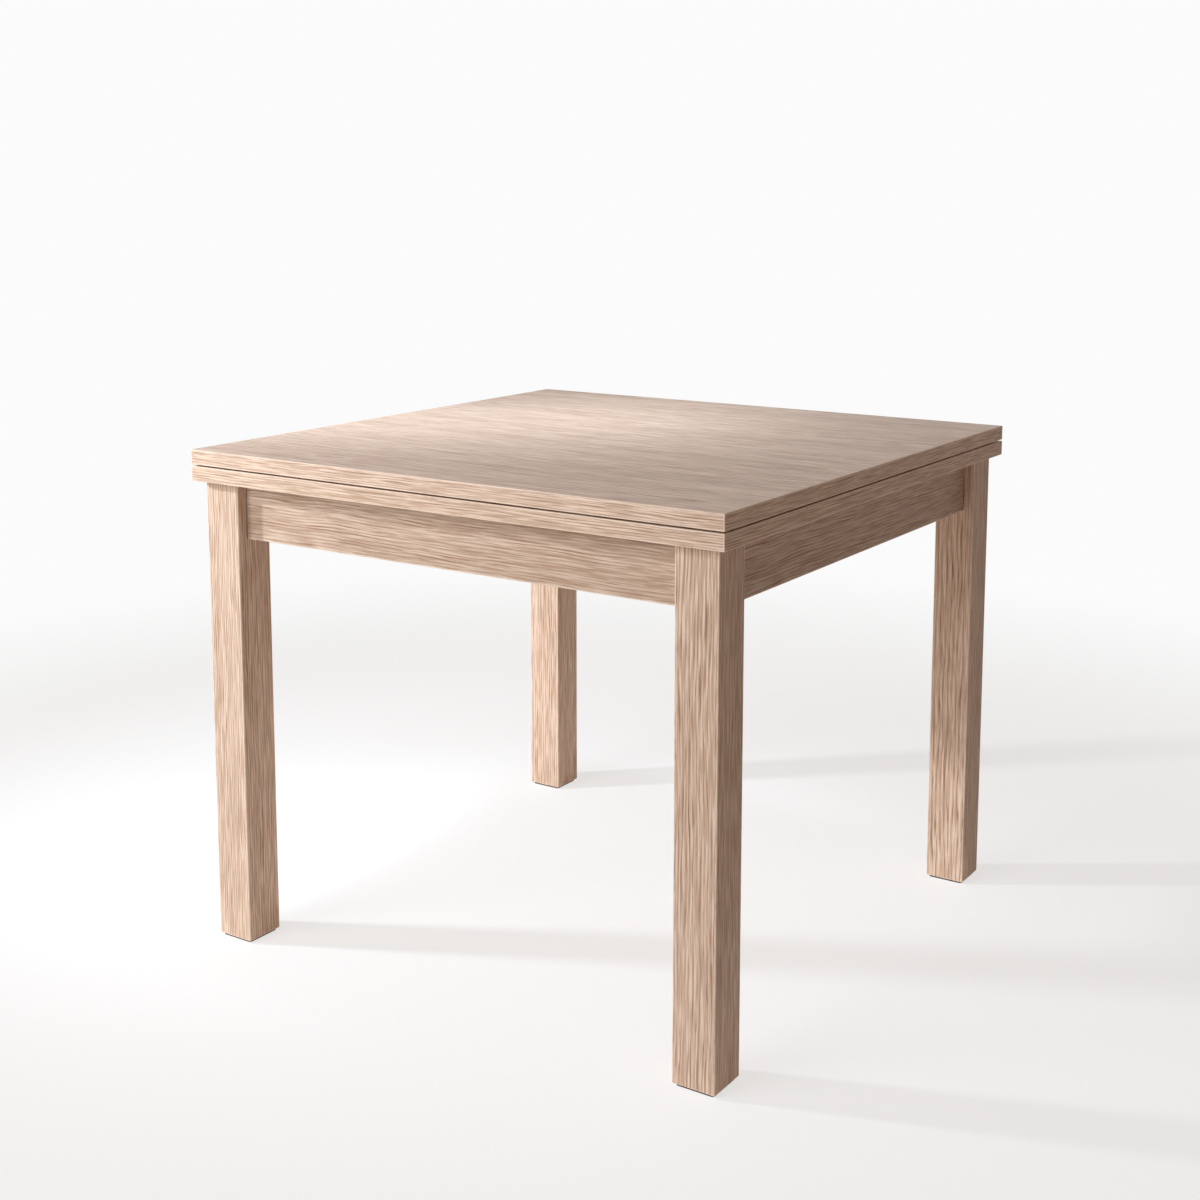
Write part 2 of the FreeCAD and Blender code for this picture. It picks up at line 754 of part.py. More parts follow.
def build_base():
    """Everything that stands still."""
    post = leg()
    pad = foot_pad()
    plate = bracket()
    board = apron()
    cleat_holes = cleat_screws(flush_hole(cleat_screw_length))
    for quarter, (corner, side) in enumerate(zip(corner_names, side_names)):
        save("leg_" + corner, turned(post, quarter))
        save("foot_pad_" + corner, turned(pad, quarter))
        save("corner_bracket_" + corner, turned(plate, quarter))
        save("apron_" + side, turned(board, quarter).cut(cleat_holes))
    quarters = range(len(corner_names))
    save("slide_felts", *[turned(slide_felt(), quarter) for quarter in quarters])
    save("hanger_bolts", *[turned(hanger_bolt(), quarter) for quarter in quarters])
    save("hanger_nuts", *[turned(hanger_nut(), quarter) for quarter in quarters])
    screws = bracket_screws(pan_screw())
    save("bracket_screws", *[turned(screw, quarter) for screw in screws for quarter in quarters])
    pegs = front_dowels(dowel_radius, dowel_length)
    pegs = [peg.makeChamfer(dowel_end_bevel, round_edges(peg)) for peg in pegs]
    save("apron_dowels", *[turned(peg, quarter) for peg in pegs for quarter in quarters])
    save("pivot_rail", rail())
    front_cleat = cleat()
    rear_cleat = front_cleat.mirror(Vector(0, 0, 0), Vector(0, 1, 0))
    holes = cleat_holes + rail_screws(flush_hole(rail_screw_length))
    save("rail_cleat_front", front_cleat.cut(holes))
    save("rail_cleat_rear", rear_cleat.cut(holes))
    long_screws = rail_screws(flush_screw(rail_screw_length)) + cleat_screws(flush_screw(cleat_screw_length))
    save("rail_screws", *long_screws)
    save("pivot_base_plate", base_plate())
    save("base_plate_screws", *plate_screws(flush_screw(base_plate_screw_length), base_plate_top, down))
    save("pivot_bush", bush())


def build_pivot():
    """What turns with the lower leaf on the pivot."""
    save("pivot_top_plate", top_plate())
    save("top_plate_screws", *plate_screws(flush_screw(top_plate_screw_length), top_plate_bottom, up))
    save("pivot_stud", stud())
    stud_hole = stud_radius + stud_clearance
    save("slip_washer", ring(slip_washer_radius, stud_hole, base_plate_top, top_plate_bottom))
    washer_top = bush_bottom - retainer_play
    tail_hole = stud_thread_radius + stud_clearance
    save("retaining_washer", ring(retainer_radius, tail_hole, washer_top - retainer_thickness, washer_top))
    save("pivot_lock_nut", lock_nut())
    save("stop_pin", stop_pin(stop_pin_radius))


def build_leaves():
    """Both leaves, each a board with its four bands."""
    sockets = bumpers(bumper_radius + fit, lower_face - bumper_sink, lower_face + overrun)
    lower_only = sockets + plate_screws(flush_hole(top_plate_screw_length), top_plate_bottom, up)
    for name, piece in leaf_pieces().items():
        upper_piece = piece
        if name in ("panel", "band_hinge_edge"):
            upper_piece = piece.cut(hinge_cutters(upper_tail))
            piece = piece.cut(hinge_cutters(lower_tail))
        if name == "panel":
            piece = piece.cut(lower_only)
        save("upper_" + name, folded(upper_piece))
        save("lower_" + name, piece)
    save("leaf_bumpers", *bumpers(bumper_radius, lower_face - bumper_sink, lower_face + leaf_gap))


def build_hinges():
    """The flip hinges, with one body in each leaf and a link between."""
    pins = []
    screws = []
    for name, row in hinge_rows.items():
        save("hinge_body_lower_" + name, hinge_body(row, lower_tail))
        save("hinge_body_upper_" + name, folded(hinge_body(row, upper_tail)))
        save("hinge_link_" + name, hinge_link(row))
        pins.append(hinge_pin(row, hinge_pin_radius, hinge_pin_length))
        screws += hinge_screws(row, hinge_screw())
    save("hinge_pins_lower", *pins)
    save("hinge_pins_upper", *[folded(pin) for pin in pins])
    save("hinge_screws_lower", *screws)
    save("hinge_screws_upper", *[folded(screw) for screw in screws])


os.makedirs("parts", exist_ok=True)
build_base()
build_pivot()
build_leaves()
build_hinges()
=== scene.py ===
# %% [markdown]
# # A swivel extending table in pale oak
# The table's shape comes ready made from its CAD model: every board, band, hinge and screw is already a
# separate object in its right place, in metres. What is left to do here is the finish of each piece and
# the studio round it.

# %% Load the table
import bpy
import json
import math
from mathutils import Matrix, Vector


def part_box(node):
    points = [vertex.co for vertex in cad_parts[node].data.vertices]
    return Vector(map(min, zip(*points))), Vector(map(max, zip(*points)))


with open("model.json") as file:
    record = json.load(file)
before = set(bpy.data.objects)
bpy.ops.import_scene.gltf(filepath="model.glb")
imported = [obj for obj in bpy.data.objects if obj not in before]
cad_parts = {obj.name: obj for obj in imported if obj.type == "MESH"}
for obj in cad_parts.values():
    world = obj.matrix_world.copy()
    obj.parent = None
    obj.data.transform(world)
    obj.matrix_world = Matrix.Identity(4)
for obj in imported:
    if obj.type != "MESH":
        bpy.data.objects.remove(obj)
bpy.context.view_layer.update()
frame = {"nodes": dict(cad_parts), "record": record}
nodes = frame["nodes"]


# %% [markdown]
# ## Shorthand for shader nodes
# A wood or metal finish is a small graph of nodes, and writing every node by hand takes four or five
# lines each. A few short functions keep the recipes below readable. The first two add a node and give
# its sockets a value or a link. The others are the steps that wood and metal need again and again:
# sums, ranges, noise and mixed colours. They only save typing and hide nothing.

# %% Functions that add nodes
def fill(tree, sockets, values):
    """Give each named socket its value, or link it where the value is another socket."""
    for name, value in values.items():
        if isinstance(value, bpy.types.NodeSocket):
            tree.links.new(value, sockets[name])
        else:
            sockets[name].default_value = value


def add_node(tree, kind, values=None, **settings):
    """Add a node, set its properties, then fill its sockets."""
    made = tree.nodes.new(kind)
    for name, value in settings.items():
        setattr(made, name, value)
    fill(tree, made.inputs, values or {})
    return made


print("nodes can be added and filled")

# %% Functions for sums and ranges
def number(tree, operation, *values):
    """One step of arithmetic on single values."""
    return add_node(tree, "ShaderNodeMath", dict(enumerate(values)), operation=operation).outputs[0]


def vector(tree, operation, *values):
    """One step of arithmetic on places."""
    return add_node(tree, "ShaderNodeVectorMath", dict(enumerate(values)), operation=operation).outputs[0]


def scaled(tree, place, scale):
    """Place times one value."""
    values = {0: place, "Scale": scale}
    return add_node(tree, "ShaderNodeVectorMath", values, operation="SCALE").outputs[0]


def distance(tree, place):
    """How far a place lies from the origin."""
    return add_node(tree, "ShaderNodeVectorMath", {0: place}, operation="LENGTH").outputs["Value"]


def sides(tree, place):
    """The three sides of a place, one by one."""
    return add_node(tree, "ShaderNodeSeparateXYZ", {0: place}).outputs


def spread(tree, value, from_range, to_range=(0.0, 1.0), ease="LINEAR"):
    """Turn one range of a value into another, and hold it at the ends."""
    low, high = from_range
    at_low, at_high = to_range
    ends = {"Value": value, "From Min": low, "From Max": high, "To Min": at_low, "To Max": at_high}
    return add_node(tree, "ShaderNodeMapRange", ends, interpolation_type=ease).outputs["Result"]


print("sums and ranges ready")

# %% Functions for noise and colour
noise_range = (0.3, 0.7)  # cloudy noise seldom leaves this range


def mottle(tree, place, fineness, detail=2.0, roughness=0.5, output="Fac"):
    """Cloudy noise with its own fineness along each axis, in spots per unit of the place."""
    fine_place = vector(tree, "MULTIPLY", place, fineness)
    values = {"Vector": fine_place, "Scale": 1.0, "Detail": detail, "Roughness": roughness}
    return add_node(tree, "ShaderNodeTexNoise", values).outputs[output]


def tint(tree, amount, first, second):
    """Mix of two colours, which the mix node takes at its sockets 6 and 7 and gives at its output 2."""
    values = {0: amount, 6: first, 7: second}
    return add_node(tree, "ShaderNodeMix", values, data_type="RGBA").outputs[2]


print("noise lies mostly between", noise_range)

# %% [markdown]
# ## The figure of oak
# Sawn oak shows slow changes of tone along the board, darker growth lines a few millimetres apart that
# wander a little, and short dark pores, like pencil dashes, crowded in those lines. A photograph of
# veneer would show them all, but it can't be used here, and it would stretch at the edges. A solid
# texture, worked out from the place inside the wood, needs no picture and runs round every corner as
# real grain does. It is one node group, because every board uses it. All its noise is drawn out along
# the first axis of the place that it is given, so each board turns its place until that axis lies along
# its grain. The group begins with the sway of the grain, which moves everything after it.

# %% Function that starts a group
def new_group(name, places, values, masks):
    """Shader group with its sockets. Returns it with what it is given and what it has to fill."""
    group = bpy.data.node_groups.new(name, "ShaderNodeTree")
    for socket in places:
        group.interface.new_socket(socket, in_out="INPUT", socket_type="NodeSocketVector")
    for socket in values:
        group.interface.new_socket(socket, in_out="INPUT", socket_type="NodeSocketFloat")
    for socket in masks:
        group.interface.new_socket(socket, in_out="OUTPUT", socket_type="NodeSocketFloat")
    start = group.nodes.new("NodeGroupInput")
    end = group.nodes.new("NodeGroupOutput")
    return group, start.outputs, end.inputs


print("groups can be started")

# %% Group: oak figure, with the sway of its grain
sway_fineness = (6.0, 14.0, 14.0)
middle_of_noise = (0.5, 0.5, 0.5)

figure_values = ["Waviness", "Line Spacing", "Bundle Spacing", "Faintest Line"]
figure_masks = ["Tone", "Lines", "Pores", "Height"]
oak_figure, given, wanted = new_group("oak figure", ["Place"], figure_values, figure_masks)
sway = mottle(oak_figure, given["Place"], sway_fineness, detail=1.0, output="Color")
sway = vector(oak_figure, "SUBTRACT", sway, middle_of_noise)
sway = scaled(oak_figure, sway, given["Waviness"])
swayed = vector(oak_figure, "ADD", given["Place"], sway)
print("group:", oak_figure.name, "takes", figure_values, "and gives", figure_masks)

# %% [markdown]
# ## Growth lines
# A tree adds a ring each year, and the saw cuts the rings into long lines. Straight stripes would be
# simpler, but they look printed. Here the lines come from the distance to a pith far outside the board,
# as in a real tree, so that they bend with the sway and run on round the edges. Noise makes some years
# wider than others, gathers the lines into stronger and fainter bundles, and breaks them up along their
# length.

# %% Oak figure: growth lines
pith_stretch = (0.012, 1.0, 1.0)  # along the grain the rings hardly change
pith_offset = (0.0, 1.9, 1.4)
growth_fineness = (9.0, 170.0, 170.0)
growth_unevenness = 1.5  # in line spacings
middle_of_ring = 0.5
line_range = (0.2, 0.46)  # from the middle of a ring, whose border is at 0.5

from_pith = vector(oak_figure, "MULTIPLY_ADD", swayed, pith_stretch, pith_offset)
rings = number(oak_figure, "DIVIDE", distance(oak_figure, from_pith), given["Line Spacing"])
uneven_growth = mottle(oak_figure, swayed, growth_fineness)
rings = number(oak_figure, "MULTIPLY_ADD", uneven_growth, growth_unevenness, rings)
in_ring = number(oak_figure, "SUBTRACT", number(oak_figure, "FRACT", rings), middle_of_ring)
even_lines = spread(oak_figure, number(oak_figure, "ABSOLUTE", in_ring), line_range)
print("growth lines darken over", line_range, "of a ring, counted from its middle")

# %% Oak figure: bundles and breaks
bundle_fineness = (0.06, 1.0, 1.0)  # in spots per bundle
bundle_range = (0.34, 0.6)
break_fineness = (20.0, 280.0, 280.0)
break_range = (0.36, 0.6)
left_at_break = 0.3

bundle_place = vector(oak_figure, "DIVIDE", swayed, given["Bundle Spacing"])
bundle_noise = mottle(oak_figure, bundle_place, bundle_fineness)
bundles = spread(oak_figure, bundle_noise, bundle_range, (given["Faintest Line"], 1.0))
break_noise = mottle(oak_figure, swayed, break_fineness)
unbroken = spread(oak_figure, break_noise, break_range, (left_at_break, 1.0))
strength = number(oak_figure, "MULTIPLY", bundles, unbroken)
lines = number(oak_figure, "MULTIPLY", even_lines, strength)
print("at a break", left_at_break, "of a line is left")

# %% [markdown]
# ## Pores and fibres
# Oak's pores are fine open tubes, which a saw lays bare as short dark dashes. Drawing each one would
# take millions of strokes. Noise drawn out very long does as well: it is kept only where it is lowest,
# and thinned out between the growth lines. Coarser long noise gives the pale and dark streaks of the
# fibres, and very slow noise the change of tone over a whole board. Fibres stand a little above pores
# and lines, so the group gives their height too.

# %% Oak figure: pores
pore_fineness = (60.0, 1500.0, 1500.0)
pore_range = (0.3, 0.4)
crowding_range = (0.1, 0.8)
fewest_pores = 0.25

pore_noise = mottle(oak_figure, swayed, pore_fineness, detail=1.0)
even_pores = spread(oak_figure, pore_noise, pore_range, (1.0, 0.0))
crowding = spread(oak_figure, lines, crowding_range, (fewest_pores, 1.0))
pores = number(oak_figure, "MULTIPLY", even_pores, crowding)
print("between the lines", fewest_pores, "of the pores are left")

# %% Oak figure: fibres, slow tone and height
fibre_fineness = (18.0, 460.0, 460.0)
fibre_range = (0.42, 0.58)
fibre_share = 0.75
slow_fineness = (1.3, 16.0, 16.0)
slow_tones = (-0.05, 0.3)
line_hollow = 0.4

fibre_noise = mottle(oak_figure, swayed, fibre_fineness, detail=3.0)
fibres = spread(oak_figure, fibre_noise, fibre_range)
slow_tone = spread(oak_figure, mottle(oak_figure, swayed, slow_fineness), noise_range, slow_tones)
tone = number(oak_figure, "MULTIPLY_ADD", fibres, fibre_share, slow_tone)
hollows = number(oak_figure, "MULTIPLY_ADD", lines, line_hollow, pores)
height = number(oak_figure, "SUBTRACT", fibres, hollows)
fill(oak_figure, wanted, {"Tone": tone, "Lines": lines, "Pores": pores, "Height": height})
print("group:", oak_figure.name, "with", len(oak_figure.nodes), "nodes")

# %% [markdown]
# ## Arris highlights and wear
# An arris is the sharp line where two faces of a board meet. A fine pale line is painted along the
# arrises of the legs and the edges of the top. It is mostly a painted highlight, where the rounded edge
# would catch the light, and partly wear, where sanding and handling thin the stain. A bevel shader could
# find such edges, but it is slow and lost when the model is exported. The boards here are plain blocks,
# so the place itself tells how near a point is to an arris: two of its three distances to the block's
# sides are small there.

# %% Group: arris highlight and wear
# The mask paints a pale line along the arrises: mostly a painted highlight where the rounded edge would
# catch the light, partly wear.
patch_fineness = (60.0, 60.0, 60.0)
reach_shares = (0.6, 1.2)

arris_places = ["Place", "Middle", "Half Size"]
arris_highlight_and_wear, given, wanted = new_group("arris highlight and wear", arris_places, ["Width"], ["Mask"])
from_middle = vector(arris_highlight_and_wear, "SUBTRACT", given["Place"], given["Middle"])
inside = vector(arris_highlight_and_wear, "SUBTRACT", given["Half Size"], vector(arris_highlight_and_wear, "ABSOLUTE", from_middle))
near = sides(arris_highlight_and_wear, inside)
lesser = number(arris_highlight_and_wear, "MINIMUM", near[0], near[1])
greater = number(arris_highlight_and_wear, "MAXIMUM", near[0], near[1])
second_nearest = number(arris_highlight_and_wear, "MAXIMUM", lesser, number(arris_highlight_and_wear, "MINIMUM", greater, near[2]))
patch_noise = mottle(arris_highlight_and_wear, given["Place"], patch_fineness)
patches = spread(arris_highlight_and_wear, patch_noise, noise_range, reach_shares)
reach = number(arris_highlight_and_wear, "MULTIPLY", given["Width"], patches)
highlit_and_worn = number(arris_highlight_and_wear, "SUBTRACT", 1.0, number(arris_highlight_and_wear, "DIVIDE", second_nearest, reach))
fill(arris_highlight_and_wear, wanted, {"Mask": number(arris_highlight_and_wear, "MAXIMUM", highlit_and_worn, 0.0)})
print("group:", arris_highlight_and_wear.name, "with", len(arris_highlight_and_wear.nodes), "nodes")

# %% [markdown]
# ## Lacquered oak, board by board
# The whole table is one pale, slightly pink oak under a matt lacquer, but its grain turns with each
# board: upright in the legs, along the aprons, along the bands round the leaves, and across the top from
# side to side. One recipe therefore makes them all. It takes the direction of the grain and the block
# that the board fills, and mixes the figure's masks into a pale tone, a deep tone, a line colour and a
# pore colour. Then it paints the arrises pale, mostly as a painted highlight and partly as wear, and
# paints a thin line of shade at the ends of an apron, in the gap where it meets the legs. The four legs,
# each pair of aprons and the two leaves are mirror images in place, so one folded coordinate serves each
# set. The aprons' pale and deep tones are made darker than the legs'. This is partly their own darker
# wood and partly painted shade for the shadow under the top's overhang.

# %% A new finish, and the figure along its grain
quarter_turn = math.radians(90)
grain_turns = {"x": (0.0, 0.0, 0.0), "y": (0.0, 0.0, -quarter_turn), "z": (0.0, quarter_turn, 0.0)}


def new_finish(name):
    """New material with its tree and the sockets of its one shader."""
    material = bpy.data.materials.new(name)
    material.use_nodes = True
    tree = material.node_tree
    return material, tree, tree.nodes["Principled BSDF"].inputs


def object_place(tree):
    """Place in the object's own frame, in metres."""
    return add_node(tree, "ShaderNodeTexCoord").outputs["Object"]


def wood_figure(tree, along, waviness, spacing, bundle, faintest):
    """Figure of a board whose grain runs along an axis. Waviness and spacings are in metres."""
    turned = {"Vector": object_place(tree), "Rotation": grain_turns[along]}
    values = dict(zip(figure_values, (waviness, spacing, bundle, faintest)))
    values["Place"] = add_node(tree, "ShaderNodeMapping", turned).outputs[0]
    return add_node(tree, "ShaderNodeGroup", values, node_tree=oak_figure).outputs


print("grain can run along", ", ".join(grain_turns))

# %% Colour and relief of wood
def wood_colour(tree, figure, tones, line_amount, pore_amount):
    """Colour of wood from its figure: two tones, growth lines over them, pores over those."""
    colour = tint(tree, figure["Tone"], tones["deep"], tones["pale"])
    colour = tint(tree, number(tree, "MULTIPLY", figure["Lines"], line_amount), colour, tones["line"])
    return tint(tree, number(tree, "MULTIPLY", figure["Pores"], pore_amount), colour, tones["pore"])


def relief(tree, height, strength, depth):
    """Normal of a surface that rises and falls by a depth in metres."""
    values = {"Height": height, "Strength": strength, "Distance": depth}
    return add_node(tree, "ShaderNodeBump", values).outputs[0]


print("wood colour and relief ready")

# %% Painted arris highlights and joint shade
arris_width = 0.003
arris_amount = 0.9
# The pale arris tint is mostly painted highlight and partly wear.
highlight_and_wear_tint = (0.9, 0.75, 0.62, 1)
joint_start = 0.0022  # from the end of the board
joint_full = 0.0008
joint_amount = 0.75
# The dark brown at the ends of an apron is painted shade in the narrow gap where it meets a leg.
joint_shade_colour = (0.09, 0.05, 0.03, 1)


def paint_arris_highlight_and_wear(tree, colour, place, low, high):
    """Colour that pales towards the arrises of a block: mostly a painted highlight, partly wear."""
    block = {"Middle": (low + high) / 2, "Half Size": (high - low) / 2}
    values = {"Place": place, "Width": arris_width, **block}
    mask = add_node(tree, "ShaderNodeGroup", values, node_tree=arris_highlight_and_wear).outputs["Mask"]
    return tint(tree, number(tree, "MULTIPLY", mask, arris_amount), colour, highlight_and_wear_tint)


def paint_joint_shade(tree, colour, place, axis, end):
    """Colour that darkens where a board ends along an axis: painted shade in the gap of the joint."""
    joint_range = (end - joint_start, end - joint_full)
    joint = spread(tree, sides(tree, place)[axis], joint_range, (0.0, joint_amount))
    return tint(tree, joint, colour, joint_shade_colour)


print("arrises are rubbed over", arris_width, "m, joints darken over", joint_start, "m")

# %% Recipe: oak board
oak_pale = (0.83, 0.664, 0.542)
oak_deep = (0.55, 0.388, 0.286)
oak_line = (0.31, 0.178, 0.112, 1)
oak_pore = (0.22, 0.125, 0.08, 1)
oak_pore_amount = 0.35
lacquer_roughness = 0.4
line_roughness = 0.12
pore_roughness = 0.1
oak_relief = {"strength": 0.35, "depth": 0.0004}


def darker(colour, shade):
    """Colour times a shade, as an opaque one."""
    return (*(part * shade for part in colour), 1)


def oak_board(name, along, block, mirror_level=0.0, joint_axis=None, waviness=0.006, spacing=0.003,
              bundle=0.014, faintest=0.45, contrast=0.82, gloss=0.06, shade=1.0):
    """Lacquered oak for boards that fill a block, or its mirror images."""
    material, tree, surface = new_finish(name)
    figure = wood_figure(tree, along, waviness, spacing, bundle, faintest)
    ground = {"pale": darker(oak_pale, shade), "deep": darker(oak_deep, shade)}
    tones = {**ground, "line": oak_line, "pore": oak_pore}
    colour = wood_colour(tree, figure, tones, contrast, oak_pore_amount)

    lift = Vector((0.0, 0.0, mirror_level))
    low, high = [corner - lift for corner in block]
    folded = vector(tree, "ABSOLUTE", vector(tree, "SUBTRACT", object_place(tree), lift))
    colour = paint_arris_highlight_and_wear(tree, colour, folded, low, high)
    if joint_axis is not None:
        colour = paint_joint_shade(tree, colour, folded, joint_axis, high[joint_axis])

    dull = number(tree, "MULTIPLY_ADD", figure["Lines"], line_roughness, lacquer_roughness)
    fill(tree, surface, {
        "Base Color": colour,
        "Roughness": number(tree, "MULTIPLY_ADD", figure["Pores"], pore_roughness, dull),
        "Normal": relief(tree, figure["Height"], **oak_relief),
        "Specular IOR Level": gloss,
    })
    return material


print("oak tones:", oak_pale, "and", oak_deep)

# %% The oak boards
leaf = (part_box("upper_band_front")[0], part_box("upper_band_rear")[1])
fold_level = (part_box("upper_panel")[0].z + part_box("lower_panel")[1].z) / 2
# The aprons' shade of 0.83 is partly their own darker wood and partly painted shade under the top's
# overhang.
apron_look = {"waviness": 0.009, "spacing": 0.0038, "contrast": 0.95, "shade": 0.83}
leaf_look = {"spacing": 0.0056, "bundle": 0.02, "faintest": 0.25, "contrast": 0.9, "gloss": 0.22}
oak = {
    "legs": oak_board("oak legs", "z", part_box("leg_rear_right"), contrast=0.95),
    "long aprons": oak_board(
        "oak aprons, front and rear", "x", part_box("apron_rear"), joint_axis=0, **apron_look),
    "side aprons": oak_board(
        "oak aprons, sides", "y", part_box("apron_right"), joint_axis=1, **apron_look),
    "leaves": oak_board("oak leaf veneer", "x", leaf, fold_level, **leaf_look),
    "long bands": oak_board("oak bands, front and rear", "x", leaf, fold_level),
    "side bands": oak_board("oak bands, sides", "y", leaf, fold_level),
}
print("oak finishes:", ", ".join(oak), "folded at", round(fold_level, 5), "m")

# %% [markdown]
# ## Plain wood inside
# The rail that carries the pivot, its cleats and the dowels are beech, planed and left bare. Beech has
# no open pores, only a fine even fleck. It could have a group of its own, but the same figure serves
# with weak lines, hardly any waves and no lacquer.

# %% Recipe: bare beech
beech_tones = {
    "pale": (0.62, 0.45, 0.31, 1),
    "deep": (0.52, 0.36, 0.24, 1),
    "line": (0.42, 0.27, 0.17, 1),
    "pore": (0.3, 0.17, 0.1, 1),
}
beech_figure = {"waviness": 0.003, "spacing": 0.006, "bundle": 0.014, "faintest": 0.45}
beech_line_amount = 0.35
beech_fleck_amount = 0.5
beech_roughness = (0.7, 0.58)  # in its deep tone and in its pale tone
beech_relief = {"strength": 0.3, "depth": 0.0003}
beech_gloss = 0.25


def bare_beech(name, along):
    """Unfinished beech with a fine short fleck."""
    material, tree, surface = new_finish(name)
    figure = wood_figure(tree, along, **beech_figure)
    fill(tree, surface, {
        "Base Color": wood_colour(tree, figure, beech_tones, beech_line_amount, beech_fleck_amount),
        "Roughness": spread(tree, figure["Tone"], (0.0, 1.0), beech_roughness),
        "Normal": relief(tree, figure["Height"], **beech_relief),
        "Specular IOR Level": beech_gloss,
    })
    return material


beech_rail = bare_beech("bare beech rail", "y")
beech_cleat = bare_beech("bare beech cleats and dowels", "x")
print("beech finishes:", beech_rail.name, "and", beech_cleat.name)

# %% [markdown]
# ## Plated steel
# The pivot plates and corner brackets are zinc plated sheet, the flip hinges satin nickel, and screws,
# bolts, pins and washers bright zinc. A flat grey metal would look like plastic. All three have the
# same two faults that make plating look real: cloudy patches where it took unevenly, and fine rubbing
# marks in one direction. One group gives both, and each metal sets its own colours and roughness.

# %% Group: plating
cloud_fineness = (90.0, 90.0, 90.0)
rub_stretch = (0.9, 0.03, 0.9)

plating, given, wanted = new_group("plating", ["Place"], ["Rub Fineness"], ["Cloud", "Rub"])
cloud_noise = mottle(plating, given["Place"], cloud_fineness, detail=4.0, roughness=0.65)
rub_place = scaled(plating, given["Place"], given["Rub Fineness"])
rub = mottle(plating, rub_place, rub_stretch, detail=3.0)
fill(plating, wanted, {"Cloud": spread(plating, cloud_noise, noise_range), "Rub": rub})
print("group:", plating.name, "with", len(plating.nodes), "nodes")

# %% Recipe: plated steel, and the three metals
rub_share = 0.5
mark_range = (0.1, 0.9)
rub_relief = {"strength": 0.12, "depth": 0.0002}


def blend(tree, first, second, first_share):
    """Sum of two values, the first at its share and the second at what is left."""
    first_part = number(tree, "MULTIPLY", first, first_share)
    return number(tree, "MULTIPLY_ADD", second, 1 - first_share, first_part)


def plated_steel(name, clean, clouded, roughness, rub_fineness):
    """Metal with cloudy plating and fine rubbing marks."""
    material, tree, surface = new_finish(name)
    values = {"Place": object_place(tree), "Rub Fineness": rub_fineness}
    marks = add_node(tree, "ShaderNodeGroup", values, node_tree=plating).outputs
    both_marks = blend(tree, marks["Rub"], marks["Cloud"], rub_share)
    fill(tree, surface, {
        "Base Color": tint(tree, marks["Cloud"], clean, clouded),
        "Roughness": spread(tree, both_marks, mark_range, roughness),
        "Normal": relief(tree, marks["Rub"], **rub_relief),
        "Metallic": 1.0,
    })
    return material


zinc_sheet = plated_steel(
    "zinc plated sheet", clean=(0.62, 0.64, 0.67, 1), clouded=(0.5, 0.52, 0.55, 1),
    roughness=(0.3, 0.5), rub_fineness=900.0)
satin_nickel = plated_steel(
    "satin nickel", clean=(0.58, 0.56, 0.52, 1), clouded=(0.49, 0.47, 0.43, 1),
    roughness=(0.24, 0.4), rub_fineness=2200.0)
bright_zinc = plated_steel(
    "bright zinc", clean=(0.72, 0.72, 0.73, 1), clouded=(0.6, 0.61, 0.63, 1),
    roughness=(0.18, 0.36), rub_fineness=1500.0)
print("metals:", zinc_sheet.name, satin_nickel.name, bright_zinc.name)

# %% [markdown]
# ## Felt, nylon and rubber
# Each foot stands on a pad of dark brown pressed felt, and thinner strips of a paler felt lie on the
# aprons where the top slides round. Felt is a mat of crossing fibres. Hairs would be far too many for
# pads this thin, and noise at two sizes gives the same nap and uneven colour. The slip washer and the
# pivot's bush are natural nylon, and the little bumpers between the leaves are grey rubber: with a
# weaker relief the same group gives their moulded surface.

# %% Group: nap
fibre_evenness = (1.0, 1.0, 1.0)
nap_patch_fineness = (70.0, 70.0, 70.0)

nap, given, wanted = new_group("nap", ["Place"], ["Fibres per Metre"], ["Fibres", "Patches"])
fibre_place = scaled(nap, given["Place"], given["Fibres per Metre"])
nap_fibres = mottle(nap, fibre_place, fibre_evenness, detail=4.0, roughness=0.7)
nap_patches = spread(nap, mottle(nap, given["Place"], nap_patch_fineness), noise_range)
fill(nap, wanted, {"Fibres": nap_fibres, "Patches": nap_patches})
print("group:", nap.name, "with", len(nap.nodes), "nodes")

# %% Recipe: soft finish, and the felts, the nylon and the rubber
nap_fibre_share = 0.6
nap_fibre_range = (0.2, 0.8)
nap_depth = 0.0006
felt_look = {"fibres": 1800.0, "roughness": (0.85, 1.0), "strength": 0.9, "sheen": 0.3}


def soft_finish(name, light, dark, fibres, roughness, strength, sheen=0.0):
    """Matt material with a nap: strong in pressed felt, hardly there in moulded plastic."""
    material, tree, surface = new_finish(name)
    values = {"Place": object_place(tree), "Fibres per Metre": fibres}
    mat = add_node(tree, "ShaderNodeGroup", values, node_tree=nap).outputs
    lightness = blend(tree, mat["Fibres"], mat["Patches"], nap_fibre_share)
    fill(tree, surface, {
        "Base Color": tint(tree, lightness, dark, light),
        "Roughness": spread(tree, mat["Fibres"], nap_fibre_range, roughness),
        "Normal": relief(tree, mat["Fibres"], strength, nap_depth),
        "Sheen Weight": sheen,
    })
    return material


